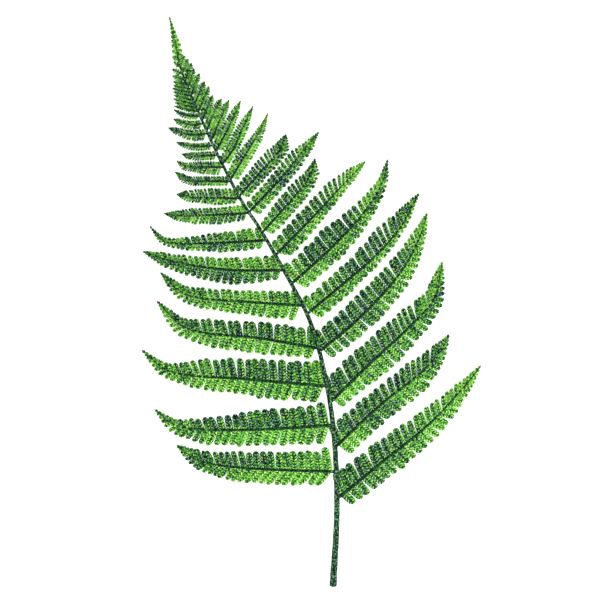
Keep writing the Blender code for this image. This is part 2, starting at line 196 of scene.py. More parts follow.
HIGHLIGHT_CREST = (0.3, 0.7)  # a pucker gets a painted highlight between these heights of its crest
HIGHLIGHT_SHARE = 0.9
GROOVE_SHADE_CREST = (0.55, 0.22)  # painted shade darkens the grooves along the veins from the first height of the crest down to the second and fades out towards the edge between these shares of the half width
GROOVE_SHADE_EDGE = (0.92, 0.7)  # and fade out towards the edge between these shares of the half width
RIB_TONE_SHARE = 0.35
SHINE = 0.12

# Fine bumps: the noise's scale and detail, then how deep they are in metres and how strong
LEAF_BUMP_SCALE = 1500.0
LEAF_BUMP = (0.00012, 0.6)
RIB_BUMP_NOISE = (2500.0, 2.0)
RIB_BUMP = (0.0001, 0.6)
STEM_BUMP_NOISE = (1800.0, 3.0)
STEM_BUMP = (0.00016, 0.7)

# Colours as 8-bit values, each with its place. The greens run from the darkest tone to the
# brightest, or over the stem's flecks, and the cut's colours over its noise.
LEAF_GREENS = (
    (0.0, (2, 18, 24)), (0.2, (14, 66, 50)), (0.4, (38, 112, 46)), (0.6, (62, 150, 44)),
    (0.8, (90, 190, 56)), (1.0, (126, 218, 76)),
)
# Painted highlight: pale and blue-grey glints on the puckers' crests, by tone
PAINTED_HIGHLIGHT_GREENS = (
    (0.0, (150, 190, 200)), (0.15, (120, 174, 156)), (0.35, (138, 196, 106)),
    (0.6, (176, 230, 100)), (1.0, (230, 250, 146)),
)
# Painted shade in the grooves along the veins, by tone
GROOVE_SHADE_GREENS = ((0.0, (1, 7, 14)), (0.5, (4, 34, 22)), (1.0, (16, 80, 32)))
RIB_GREENS = ((0.0, (2, 14, 16)), (0.35, (10, 50, 30)), (0.7, (36, 94, 42)), (1.0, (92, 150, 72)))
STEM_GREENS = (
    (0.0, (2, 10, 16)), (0.35, (6, 38, 30)), (0.6, (16, 74, 44)), (0.82, (48, 104, 52)),
    (1.0, (118, 160, 116)),
)
CUT_COLOURS = ((0.4, (14, 48, 36)), (0.65, (66, 92, 52)))

# Soft lights: place and size in metres, power in watts and colour
LIGHTS = {
    "key": ((0.45, -0.6, 0.8), 0.6, 9.5, (1.0, 0.99, 0.95)),
    "fill": ((-0.7, 0.5, 1.2), 1.2, 4.0, (0.93, 0.97, 1.0)),
}
SKY_LIGHT = 0.52

# The floor, in metres
FLOOR_HALF = 3.0
FLOOR_DROP = 0.0005  # just under the frond
FLOOR_WHITE = (0.93, 0.93, 0.93, 1)
FLOOR_GLOW = 0.85
FLOOR_ROUGHNESS = 0.9
FLOOR_SHINE = 0.1

Pinna = namedtuple("Pinna", "side root bends tip upper lower leaflets tones sweeps")

# How the leaflets slant from the rib, in degrees at the root and at the tip: the upper row, then
# the lower
LEFT_SWEEPS = ((78, 48), (72, 46))
RIGHT_SWEEPS = ((84, 50), (75, 45))

# Each row has the solid's path: where the pinna leaves the rachis, the points that its rib bends
# through and its tip. Then how far its upper and its lower leaflets reach to the side of the rib, at
# the REACH_PLACES, and how many it has on a side, which is the photograph's count and so more than
# the solid's. Then how light its upper and its lower leaflets are from its root to its tip, from d
# for dark to b for bright, partly their own green and partly painted light and shade, and how they
# slant.
LEFT = [
    Pinna(-1, *row)
    for row in (
        (77, ((-56, 79.4), (-88.5, 84)), (-104.7, 94.7), (14, 12.3, 10.5, 7.3),
         (9.8, 10.3, 9.3, 5.2),
         25, ("lllmdddddnn", "bbbbblmnnd"), ((84, 48), (56, 42))),
        (108, ((-62, 105), (-103, 107.5)), (-119.5, 119), (14.2, 13.5, 9.5, 4.6),
         (12.5, 11.2, 10.6, 6), 25, ("bmddddddnmln", "bmbbbbblmmnn"), ((84, 50), (72, 50))),
        (134, ((-57, 138.7), (-108, 143.7)), (-128, 158.3), (15, 14.6, 11.8, 4.4),
         (11.5, 12, 8.8, 5),
         27, ("bmddddnlmmmn", "mmlmbbbblmnn"), ((83, 50), (76, 46))),
        (159, ((-48, 165.8), (-97, 172.3)), (-117.7, 191), (13, 11, 9.9, 4.5),
         (7.8, 11, 9, 5.5), 26,
         ("mmndddddnm", "lbbbblbbmm"), ((82, 48), (80, 48))),
        (187.5, ((-58, 190.2), (-97, 194.8)), (-115.5, 210), (9.5, 7.8, 7.5, 4.4),
         (10.3, 9, 7, 4.8),
         25, ("lmbblllmnn", "bbblbblmnn"), ((82, 48), (76, 48))),
        (211, ((-68, 211.3), (-104, 216.4)), (-127.3, 223.8), (11, 8.5, 6.5, 4.3),
         (6.7, 10.3, 7.5, 5),
         25, ("blbbblmmnn", "lmnddddnnn"), ((75, 45), (80, 50))),
        (231, ((-76, 229.3), (-111, 229.9)), (-122.5, 240.9), (9, 7.4, 4.9, 2.7),
         (5.7, 7, 4.2, 2.4),
         24, ("bblmdddddn", "mndddnddnd"), ((80, 50), (76, 50))),
        (249, ((-77, 248), (-100, 247.2)), (-113, 249), (6.4, 5, 5.7, 3.6), (4.8, 7, 5.7, 3.6), 26,
         ("bblndddnmd", "ndddnlbmnd"), LEFT_SWEEPS),
        (258.7, ((-80, 259.2), (-95, 259.7)), (-104.5, 261.8), (6.6, 6.8, 6.2, 4.4),
         (3.7, 5.3, 3.7, 3.3),
         21, ("bmnddddd", "mnmdnmdd"), LEFT_SWEEPS),
        (270, ((-85.3, 270.3), (-97, 271)), (-105.2, 276.5), (3.8, 3.6, 3.6, 3.1),
         (3.2, 3.4, 3.4, 2.8),
         25, ("nddddddn", "mmlmnndd"), LEFT_SWEEPS),
        (279.5, ((-85, 279.7), (-98, 280.3)), (-104.2, 284), (3.8, 4.1, 3.6, 2.4),
         (5.8, 5.2, 3.6, 2.9), 22,
         ("dddddndd", "lmmndddd"), LEFT_SWEEPS),
        (287.5, ((-90, 287),), (-100.9, 288.5), (3.1, 3.2, 2.8, 1.7), (3.1, 3.1, 3.4, 2.9), 17,
         ("nddd", "mndd"), LEFT_SWEEPS),
        (294, ((-92, 293.3),), (-104.5, 296.5), (2.8, 2.6, 2.3, 1.4), (2.9, 2.9, 2.9, 2.4), 18,
         ("ndnd", "nndd"), LEFT_SWEEPS),
        (302, ((-96, 301.3),), (-109.7, 306), (3.4, 3.6, 3.3, 2.3), (4.4, 4.4, 3.2, 2.6), 19,
         ("nndn", "mndd"), LEFT_SWEEPS),
        (308.5, ((-96, 308),), (-106.3, 312), (2.9, 2.9, 2.6, 1.7), (3.2, 3.2, 3, 2.3), 14,
         ("ndnd", "nmnd"), LEFT_SWEEPS),
        (313.5, ((-98, 314),), (-106, 318), (2.3, 2.3, 2.1, 1.5),
         (2.3, 2.3, 2.2, 1.6), 12, ("ndn", "nnd"),
         LEFT_SWEEPS),
        (316.5, (), (-105.7, 320.5), (1.8, 1.8, 1.7, 1.3), (1.8, 1.8, 1.7, 1.3), 11, ("mnm", "mmn"),
         LEFT_SWEEPS),
        (319, (), (-105.3, 322.8), (1.8, 1.8, 1.7, 1.3), (1.8, 1.8, 1.7, 1.3), 11, ("mlm", "mmn"),
         LEFT_SWEEPS),
        (321.5, (), (-106.3, 325.3), (1.8, 1.8, 1.7, 1.3), (1.8, 1.8, 1.7, 1.3), 11, ("mnm", "mln"),
         LEFT_SWEEPS),
        (324, (), (-106, 327.7), (1.8, 1.8, 1.7, 1.3), (1.8, 1.8, 1.7, 1.3), 10, ("mlm", "mmn"),
         LEFT_SWEEPS),
        (326.7, (), (-106.3, 330), (1.8, 1.8, 1.7, 1.3), (1.8, 1.8, 1.7, 1.3), 9, ("mnm", "mlm"),
         LEFT_SWEEPS),
        (329.3, (), (-107, 332.3), (1.8, 1.8, 1.7, 1.3), (1.8, 1.8, 1.7, 1.3), 9, ("mlm", "mmm"),
         LEFT_SWEEPS),
        (332, (), (-106.3, 334.3), (1.8, 1.8, 1.7, 1.3), (1.8, 1.8, 1.7, 1.3), 8, ("mll", "mmm"),
         LEFT_SWEEPS),
        (334.5, (), (-106.3, 336.8), (2.2, 2.2, 2, 1.6), (2.2, 2.2, 2, 1.6), 7, ("llm", "mlm"),
         LEFT_SWEEPS),
        (337.3, (), (-107, 340.7), (2.2, 2.2, 2, 1.6), (2.2, 2.2, 2, 1.6), 7, ("lml", "mlm"),
         LEFT_SWEEPS),
        (341.3, (), (-107, 345), (2.2, 2.2, 2, 1.6), (2.2, 2.2, 2, 1.6), 5, ("lml", "mlm"),
         LEFT_SWEEPS),
        (346, (), (-106, 350.3), (1.8, 1.8, 1.7, 1.4), (1.8, 1.8, 1.7, 1.4), 4, ("llm", "mlm"),
         LEFT_SWEEPS),
    )
]
RIGHT = [
    Pinna(1, *row)
    for row in (
        (58.7, ((32, 83), (64, 109), (88.9, 135.5)), (99, 148.3), (13.5, 13.3, 9.5, 5),
         (10.3, 12.5, 9.8, 5.4), 28, ("ndddddnnllbbbbb", "lmmnnnmlbbbbbb"), ((80, 42), (88, 46))),
        (93, ((31.3, 121.5), (56, 141), (70, 155.3)), (77.7, 168.7), (13, 10.8, 11, 7.5),
         (10.6, 11.5, 12, 5.9), 24, ("nddddddnndnn", "bbbmnnnmblmnndn"), ((78, 38), (86, 60))),
        (123, ((24.7, 149.4), (50.4, 173.3), (67, 192)), (73, 217.5), (13.5, 13.3, 11.3, 7),
         (8.5, 12.8, 10.1, 5.2), 29, ("nddddddddnmblbmb", "bbbbbmmlmmlmmmnddnml"),
         ((78, 44), (92, 50))),
        (157, ((18.5, 180.5), (44, 208.5), (57, 231.3)), (63, 250), (11.5, 12.5, 10.3, 6.5),
         (9.5, 10.8, 9, 4.4), 28, ("ndddddddddnmlbbl", "lmmmmnnnmmllbbbbbbbl"), ((88, 46), (86, 40))),
        (182, ((3, 199), (28.5, 221), (45, 240)), (57.6, 262.7), (9, 10.3, 12.8, 7.8),
         (8.7, 7.5, 4.7, 2.7), 27, ("bbmlmnddddddnnnddn", "bblmlmmmlmmlnnnn"), ((86, 44), (72, 40))),
        (202, ((-1.6, 225.5), (19.7, 248.5), (32, 268)), (36.7, 285.5), (11.5, 13.3, 8, 3.9),
         (8.5, 9.5, 6.6, 3.7), 25, ("bbmddddddnlbbbmnd", "bbbbnmlnmlnnmndd"), ((88, 40), (74, 42))),
        (221, ((-18.5, 241), (3, 264)), (22, 284), (8.4, 9.2, 9, 5.4), (8, 7, 4.8, 3.6), 23,
         ("mbnddddnnmmlbbb", "bmlmbblnlbbbbb"), ((84, 38), (60, 40))),
        (236, ((-27, 258.5), (-15, 274)), (-12, 286), (5, 7.6, 7.5, 4.1), (6.5, 7.3, 6.8, 4.9), 20,
         ("bmddddnn", "bblmmmnd"), RIGHT_SWEEPS),
        (249.5, ((-34, 273), (-19, 291.7)), (-9.2, 303.7), (6.1, 6.2, 6.9, 3.1),
         (6.6, 6.1, 5.8, 4.4), 22,
         ("blmdnmll", "bmnddnmm"), RIGHT_SWEEPS),
        (260, ((-48, 276.5), (-36, 290.5)), (-31.2, 302), (6.4, 7, 7.2, 4.4),
         (5.5, 5.7, 5.7, 5.1), 20,
         ("nddddddn", "bmndddnd"), RIGHT_SWEEPS),
        (271, ((-59, 286.5), (-48.5, 304.3)), (-43.3, 316), (5, 5.6, 3.4, 1.6),
         (4.8, 5.2, 4.8, 2.6), 26,
         ("nnddddmlbb", "lbbbbblbbb"), RIGHT_SWEEPS),
        (281.5, ((-66, 292), (-58, 310.5)), (-53.2, 320.7), (4.8, 5.4, 4.3, 2),
         (3.6, 3.6, 4, 2.2), 24,
         ("nndnddnlbb", "bbbllbblbb"), RIGHT_SWEEPS),
        (290, ((-72, 301), (-66.2, 313)), (-61.5, 324), (4.6, 5, 4.2, 2.8),
         (4.4, 4.6, 3.1, 2.2), 22,
         ("nmdnlb", "blbmbb"), RIGHT_SWEEPS),
        (297, ((-75.3, 311),), (-69.4, 324.7), (3.6, 3.7, 3.4, 2.5), (3.2, 3.2, 3, 2.3), 19,
         ("mnlmnl", "lmblml"), RIGHT_SWEEPS),
        (303.5, ((-79.3, 316),), (-74.3, 325.5), (3.5, 3.5, 3.2, 2.5), (3.5, 3.5, 3.2, 2.5), 16,
         ("nmlnm", "lmlml"), RIGHT_SWEEPS),
        (310.5, ((-83.3, 320),), (-80.2, 327.8), (3.5, 3.5, 3.2, 2.2), (3.4, 3.4, 3, 2.2), 12,
         ("ndnmn", "mnlmn"), RIGHT_SWEEPS),
        (316.3, ((-86.3, 325),), (-82.6, 333.7), (3.3, 3.3, 3.1, 2.3), (3.2, 3.2, 3, 2.3), 12,
         ("mnmm", "mlmm"), RIGHT_SWEEPS),
        (321.5, ((-89, 329.5),), (-85.6, 337), (3.2, 3.2, 3, 2.3), (3.1, 3.1, 2.9, 2.2), 11,
         ("mmnm", "mlmn"), RIGHT_SWEEPS),
        (327, ((-92, 335.3),), (-88.9, 342.3), (3, 3, 2.8, 2.2), (2.9, 2.9, 2.6, 2.1), 10,
         ("mnm", "mlm"), RIGHT_SWEEPS),
        (332.3, (), (-92.7, 345.6), (2.8, 2.8, 2.6, 2.1), (2.8, 2.8, 2.6, 2.1), 9, ("mlm", "lml"),
         RIGHT_SWEEPS),
        (337, (), (-94.3, 349.2), (2.6, 2.6, 2.5, 2), (2.6, 2.6, 2.5, 2), 8, ("lml", "llm"),
         RIGHT_SWEEPS),
        (342, (), (-96.6, 352), (2.5, 2.5, 2.4, 1.9), (2.5, 2.5, 2.4, 1.9), 7, ("lbl", "llm"),
         RIGHT_SWEEPS),
        (346.5, (), (-98.8, 354), (2.3, 2.3, 2.2, 1.8), (2.3, 2.3, 2.2, 1.8), 5, ("lbl", "lbm"),
         RIGHT_SWEEPS),
    )
]

# The frond's lobed tip: where it starts, how far from there its first lobes are, how far its lobes
# reach to the side, how they slant, how many they are on a side, their gaps and their tones
TERMINAL_ROOT = 349.0
TERMINAL_FIRST = 1.0
TERMINAL_LOBE = (3.9, 3.4, 2.0, 1.0)
TERMINAL_SWEEP_DEG = (60.0, 44.0)
TERMINAL_LOBES = 10
TERMINAL_SLIT = (0.9, 0.3, 0.6, 1.4)
TERMINAL_TONES = ("lbmnm", "mlblm")


def along_table(table, y):
    """Smooth value at y through a table of (y, value), as a cubic with its neighbours' slopes."""
    i = max(0, min(len(table) - 2, sum(1 for place, _ in table[1:-1] if place <= y)))
    (y0, a), (y1, b) = table[i], table[i + 1]
    before, after = table[max(i - 1, 0)], table[min(i + 2, len(table) - 1)]
    slope0 = (b - before[1]) / (y1 - before[0])
    slope1 = (after[1] - a) / (after[0] - y0)
    span = y1 - y0
    t = (y - y0) / span
    return (
        a * (1 + 2 * t) * (1 - t) ** 2
        + b * t * t * (3 - 2 * t)
        + span * t * (1 - t) * (slope0 * (1 - t) - slope1 * t)
    )


def mix(pair, t):
    return pair[0] + (pair[1] - pair[0]) * t


def smooth_step(t):
    t = np.clip(t, 0.0, 1.0)
    return t * t * (3 - 2 * t)


def unit(v):
    return v / np.linalg.norm(v)


def groove_shares(turns, depth, width):
    """How far each point of a ring is from its middle, where a groove runs along the top."""
    return 1 - depth * np.exp(-((np.cos(turns) / width) ** 2)) * (np.sin(turns) > 0)


def rachis_radius(y):
    left = max(0.0, 1 - y / FROND_HEIGHT)
    slim = (RACHIS_RADIUS - TIP_RADIUS) * left**RACHIS_TAPER
    return TIP_RADIUS + slim + FOOT_FLARE * math.exp(-y / FLARE_HEIGHT)


def rachis_point(y):
    """Centre of the rachis at height y: it lies on the surface, arches and comes down at its tip."""
    share = max(0.0, min(1.0, (y - LYING_HEIGHT) / (FROND_HEIGHT - LYING_HEIGHT)))
    lift = RACHIS_LIFT * math.sin(math.pi * share) ** LIFT_CURVE if 0 < share < 1 else 0.0
    return np.array((along_table(STEM_LINE, y), y, rachis_radius(y) * FLAT_SIDE + lift))


def rib_path(leaf):
    """Plan points of a pinna's rib, from the middle of the rachis through its bends to its tip."""
    places = np.array([rachis_point(leaf.root)[:2], *leaf.bends, leaf.tip], float)
    reach = np.concatenate(([0.0], np.cumsum(np.linalg.norm(np.diff(places, axis=0), axis=1))))
    lines = [list(zip(reach, places[:, axis])) for axis in (0, 1)]
    distances = np.linspace(0.0, reach[-1], PATH_STEPS + 1)
    return np.array([[along_table(line, s) for line in lines] for s in distances])


class Rib:
    """A pinna's rib: its plan path by distance, and its height over the surface."""

    def __init__(self, path, root_height, tip_height, arch):
        self.path = path
        steps = np.linalg.norm(np.diff(path, axis=0), axis=1)
        self.reach = np.concatenate(([0.0], np.cumsum(steps)))
        self.length = self.reach[-1]
        self.heights = (root_height, tip_height)
        self.arch = arch

    def plan(self, s):
        return np.array([np.interp(s, self.reach, self.path[:, axis]) for axis in (0, 1)])

    def ahead(self, s):
        step = self.length * AHEAD_STEP
        return unit(self.plan(s + step) - self.plan(s - step))

    def height(self, s):
        t = np.clip(s / self.length, 0.0, 1.0)
        return mix(self.heights, t**FALL_CURVE) + self.arch * 4 * t * (1 - t)


def row_reach(row, t):
    """How far a row reaches to the side of its rib, at share t of the rib."""
    closing = np.clip((t - REACH_PLACES[-1]) / (1 - REACH_PLACES[-1]), 0, 1)
    return float(np.interp(t, REACH_PLACES, row) * (1 - closing) ** CLOSING)


def leaflet_length(row, s, sweep, rib_length):
    """So long that a leaflet slanting forward from s ends where its row's reach is."""
    length = row_reach(row, s / rib_length) / math.sin(sweep)
    for _ in range(LENGTH_STEPS):
        end = (s + length * math.cos(sweep)) / rib_length
        length = (length + row_reach(row, end) / math.sin(sweep)) / 2
    return length


def stations(rib, leaflets, first):
    """Where the rib's notches are: wide apart at the root and closer towards the tip."""
    span = rib.length * RIB_END - first
    shares = [i / leaflets for i in range(leaflets + 1)]
    return [first + span * u * (1 + PITCH_TAPER * (1 - u)) for u in shares]


def tone_at(letters, t):
    values = [TONES[letter] for letter in letters]
    return float(np.interp(t * (len(values) - 1), range(len(values)), values))


class Sheets:
    """Collects closed thin sheets and tubes as one mesh, with the material's values by point."""

    def __init__(self):
        self.points, self.quads, self.values = [], [], []
        self.count = 0

    def add(self, points, quads, values):
        self.points.append(points)
        self.quads.append(quads + self.count)
        self.values.append(values)
        self.count += len(points)

    def sheet(self, top, values, thickness):
        """A grid of top points, (rows, columns, 3), closed with the same grid below it."""
        rows, columns = top.shape[:2]
        size = rows * columns
        under = top - np.array((0, 0, thickness))
        index = np.arange(size).reshape(rows, columns)
        a, b = index[:-1, :-1], index[1:, :-1]
        c, d = index[1:, 1:], index[:-1, 1:]
        upper = np.stack((a, b, c, d), axis=-1).reshape(-1, 4)
        lower = upper[:, ::-1] + size
        rim = np.concatenate((index[0, :], index[1:, -1], index[-1, -2::-1], index[-2:0:-1, 0]))
        following = np.roll(rim, -1)
        wall = np.stack((rim, following, following + size, rim + size), axis=-1)
        self.add(
            np.concatenate((top.reshape(-1, 3), under.reshape(-1, 3))),
            np.concatenate((upper, lower, wall)),
            np.tile(values.reshape(size, -1), (2, 1)),
        )

    def tube(self, rings, values):
        """Rings of points, (rings, sides, 3), whose first and last rings shrink to a point."""
        rows, sides = rings.shape[:2]
        index = np.arange(rows * sides).reshape(rows, sides)
        after = np.roll(index, -1, axis=1)
        quads = np.stack((index[:-1], after[:-1], after[1:], index[1:]), axis=-1).reshape(-1, 4)
        self.add(rings.reshape(-1, 3), quads, values)

    def build(self, name):
        points = (np.concatenate(self.points) - np.array((*BOX_MIDDLE, 0))) * MM
        quads = np.concatenate(self.quads)
        values = np.concatenate(self.values)
        mesh = bpy.data.meshes.new(name)
        mesh.vertices.add(len(points))
        mesh.vertices.foreach_set("co", points.astype(np.float32).ravel())
        mesh.loops.add(quads.size)
        mesh.loops.foreach_set("vertex_index", quads.astype(np.int32).ravel())
        mesh.polygons.add(len(quads))
        mesh.polygons.foreach_set("loop_start", np.arange(0, quads.size, 4, dtype=np.int32))
        mesh.update(calc_edges=True)
        for column, label in enumerate(("tone", "crest", "across")):
            attribute = mesh.attributes.new(label, "FLOAT", "POINT")
            attribute.data.foreach_set("value", values[:, column].astype(np.float32))
        mesh.validate()
        mesh.shade_smooth()
        made = bpy.data.objects.new(name, mesh)
        bpy.context.scene.collection.objects.link(made)
        return made


def leaflet_half_widths(t, half, length, puckers, chance):
    """Half width along a leaflet: broad at the rib, wavy at the side veins, round at the end."""
    round_from = 1 - min(ROUND_MOST, ROUND_LENGTH * half / length)
    closing = np.clip((t - round_from) / (1 - round_from), 0, 1)
    outline = np.sqrt(np.clip(1 - closing**ROUND_CURVE, ROUND_LEAST, 1))
    bulge = BULGE * np.sin(math.pi * np.clip(t / BULGE_END, 0, 1))
    swell = 1 + bulge - LEAFLET_TAPER * t
    start = chance.uniform(-EDGE_WAVE_START, EDGE_WAVE_START)
    waves = 1 + EDGE_WAVE * np.cos(2 * math.pi * (puckers * t + start))
    joined = 1 + ROOT_SPREAD * np.exp(-((t / ROOT_LENGTH) ** 2))
    return half * outline * swell * waves * joined, outline


def add_leaflet(sheets, rib, s, pitch, gap, length, sweep, hand, tone, floor, chance):
    """One leaflet: an oblong sheet joined broadly to the rib, puckered between its side veins."""
    puckers = max(1, round(length / PUCKER))
    rows = max(LEAST_ROWS, puckers * PUCKER_ROWS)
    columns = COLUMNS[1] if length > LONG_LEAFLET else COLUMNS[0]
    t = 1 - (1 - np.linspace(0, 1, rows + 1)) ** ROW_CROWDING
    w = np.linspace(-1, 1, columns + 1)
    ahead = rib.ahead(s)
    turn = sweep * hand
    side = np.array((
        ahead[0] * math.cos(turn) - ahead[1] * math.sin(turn),
        ahead[0] * math.sin(turn) + ahead[1] * math.cos(turn),
    ))
    across = np.array((side[1], -side[0])) * hand
    sickle = chance.uniform(*SICKLE) * length
    middle = rib.plan(s) + t[:, None] * length * side + (t**2)[:, None] * sickle * ahead

    width, outline = leaflet_half_widths(t, (pitch - gap) / 2, length, puckers, chance)
    lean = smooth_step(t / TURN_END)[:, None]
    width = width * (1 - NARROWING * lean[:, 0] * (1 - math.sin(sweep)))
    spread = ahead * (1 - lean) + across * lean
    place = middle[:, None, :] + (w[None, :, None] * width[:, None, None]) * spread[:, None, :]

    slant = puckers * t[:, None] - VEIN_SLANT * np.abs(w)[None, :]
    bulging = np.sin(math.pi * np.abs(w))[None, :] ** PUCKER_CURVE
    crest = (0.5 - 0.5 * np.cos(2 * math.pi * slant)) * bulging
    crest *= (outline > PUCKER_OUTLINE)[:, None]
    height = rib.height(s)
    room = max(0.0, height - BLADE) * DROP_LIMIT
    drop = min(length * math.sin(math.radians(DROOP_DEG)), room) * chance.uniform(*DROOP_RANGE)
    tilt = math.tan(math.radians(chance.uniform(-TILT_DEG, TILT_DEG)))
    midrib = MIDRIB_DEPTH * np.exp(-((w / MIDRIB_WIDTH) ** 2))
    z = height - drop * (t**DROOP_CURVE)[:, None] + tilt * w[None, :] * width[:, None]
    z = z + PUCKER_HEIGHT * crest - midrib - EDGE_FALL * np.abs(w) ** EDGE_CURVE
    z = np.maximum(z, SHEET)

    # Painted light and shade: the half of the leaflet that faces the light side is painted paler, the
    # other half darker
    painted_light = chance.uniform(*PAINTED_LIGHT_RANGE) * float(across @ PAINTED_LIGHT_SIDE)
    outward = smooth_step((t - DARKER_FROM) / DARKER_OVER)[:, None]
    darker_end = chance.uniform(*DARKER_RANGE) * outward
    tones = tone + painted_light * w[None, :] - darker_end * mix(DARKER_SHARE, tone)
    top = np.concatenate((place, z[..., None]), axis=-1)
    edge = np.broadcast_to(np.abs(w), z.shape)
    values = np.stack((tones, np.maximum(crest, floor), edge), axis=-1)
    if hand < 0:
        top, values = top[:, ::-1], values[:, ::-1]
    sheets.sheet(top, values, SHEET)


def add_ribbon(sheets, rib, half_width, tone):
    """The rib itself: a slim tube, grooved along its top."""
    s = np.linspace(0.0, rib.length, RIB_RINGS)
    turns = 2 * np.pi * np.arange(RIB_SIDES) / RIB_SIDES
    groove = groove_shares(turns, *RIB_GROOVE)
    thick = RIB_SWELL * half_width * (1 - RIB_TAPER * s / rib.length)
    thick = np.maximum(thick, TIP_RIB)
    waves = 1.0
    for share, speed, start in RIB_WAVES:
        waves = waves + share * np.sin(s * speed + start)
    thick *= waves
    thick[0] *= RIB_END_SHARES[0]
    thick[-1] *= RIB_END_SHARES[1]
    tube = []
    for distance, radius in zip(s, thick):
        ahead = rib.ahead(distance)
        left = np.array((-ahead[1], ahead[0], 0))
        centre = np.array((*rib.plan(distance), rib.height(distance) - RIB_SINK))
        out = (
            left * np.cos(turns)[:, None]
            + np.array((0, 0, 1)) * (RIB_FLATNESS * np.sin(turns) * groove)[:, None]
        )
        ring = centre + out * radius
        ring[:, 2] = np.maximum(ring[:, 2], 0.0)
        tube.append(ring)
    values = np.zeros((RIB_RINGS * RIB_SIDES, 3))
    values[:, 0] = tone
    values[:, 2] = 1.0
    sheets.tube(np.array(tube), values)


def make_pinna(name, rib, rows, leaflets, side, first, rib_half, chance):
    """The leaflets and the rib of one pinna. Each row is its reach, slants, tones and gaps, and the
    upper row is the first."""
    sheets = Sheets()
    notches = stations(rib, leaflets, first)
    for (row, sweeps, letters, slit), hand in zip(rows, (side, -side)):
        for i, (a, b) in enumerate(zip(notches, notches[1:])):
            middle = (a + b) / 2
            share = middle / rib.length
            turned = smooth_step(
                (share - SWEEP_PLACES[0]) / (SWEEP_PLACES[1] - SWEEP_PLACES[0])
            )
            slant_deg = mix(sweeps, turned) + chance.uniform(-SWEEP_CHANCE, SWEEP_CHANCE)
            sweep = math.radians(slant_deg)
            length = leaflet_length(row, middle, sweep, rib.length)
            length = length * chance.uniform(*LENGTH_CHANCE)
            if i == 0 and hand == side and rib.length > LONG_PINNA:
                length *= FIRST_LONGER
            length = max(length, SHORTEST_LEAFLET)
            apart = smooth_step(
                (length - SLIT_LENGTHS[0]) / (SLIT_LENGTHS[1] - SLIT_LENGTHS[0])
            )
            gap = min(SLIT_SHARE * (b - a), mix(slit[:2], share)) * chance.uniform(*slit[2:])
            gap = mix((SHORT_SLIT * (b - a), gap), apart)
            tone = tone_at(letters, share) + chance.uniform(-1, 1) * mix(TONE_CHANCE, apart)
            tone += SHORT_PALER * (1 - apart)
            floor = CREST_FLOOR * (1 - apart)
            add_leaflet(sheets, rib, middle, b - a, gap, length, sweep, hand, tone, floor, chance)
    blades = sheets.build(f"{name}_leaflets")
    ribs = Sheets()
    # The rib takes the mean tone of its rows, with their painted light and shade
    add_ribbon(ribs, rib, rib_half, sum(tone_at(row[2], 0.5) for row in rows) / 2)
    return blades, ribs.build(f"{name}_rib")


def pinna_ribs():
    """Each pinna's rib and sizes, with the same arches and heights as the solid's blades."""
    chance = random.Random(SEED)
    for number, leaf in enumerate(LEFT + RIGHT):
        path = rib_path(leaf)
        length = float(np.linalg.norm(np.diff(path, axis=0), axis=1).sum())
        root_height = rachis_point(leaf.root)[2] + BLADE / 2
        hover = HOVER * chance.random() if number % 2 else 0.0
        arch = ARCH_SHARE * length * chance.uniform(*ARCH_RANGE)
        rib = Rib(path, root_height, BLADE + hover, arch)
        rib_half = mix(RIB_HALF_WIDTH, min(1.0, length / LONGEST))
        first = rachis_radius(leaf.root) + FIRST_LEAFLET * rib_half
        yield leaf, rib, rib_half, first


def make_stem():
    """The cut stem and rachis: a tube, flattened where it lies and grooved along its upper side."""
    end = CUT_ROUND * (1 - np.cos(np.linspace(0, math.pi / 2, CUT_RINGS + 1)[:-1]))
    along = np.linspace(CUT_ROUND, FROND_HEIGHT, STEM_RINGS)
    heights = np.concatenate((end, along, (FROND_HEIGHT,)))
    rounding = 1 - (1 - np.clip(heights / CUT_ROUND, 0, 1)) ** 2
    shares = np.sqrt(np.clip(rounding, CUT_LEAST, 1))
    shares[-1] = STEM_TIP_SHARE
    turns = 2 * np.pi * np.arange(STEM_SIDES) / STEM_SIDES
    groove = groove_shares(turns, *STEM_GROOVE)
    tube = []
    for y, share in zip(heights, shares):
        centre = rachis_point(y)
        ahead = unit(rachis_point(y + STEM_AHEAD)[:2] - rachis_point(y - STEM_AHEAD)[:2])
        across = np.array((ahead[1], -ahead[0], 0))
        radius = rachis_radius(y)
        lumps = (
            1
            + STEM_LUMP * np.sin(y * STEM_WAVES[0])
            + STEM_LUMP * np.sin(LUMPS_AROUND * turns + y * STEM_WAVES[1])
        )
        out = (
            across * np.cos(turns)[:, None]
            + np.array((0, 0, 1)) * (np.sin(turns) * groove)[:, None]
        )
        ring = centre + out * (STEM_SWELL * radius * share * lumps)[:, None]
        ring[:, 2] = np.maximum(ring[:, 2], centre[2] - radius * FLAT_SIDE)
        tube.append(ring)
    tube = np.array(tube)
    values = np.zeros((tube.shape[0] * STEM_SIDES, 3))
    values[:, 2] = 1.0
    values[: BROWN_RINGS * STEM_SIDES, 1] = 1.0
    sheets = Sheets()
    sheets.tube(tube, values)
    return sheets.build("stem")


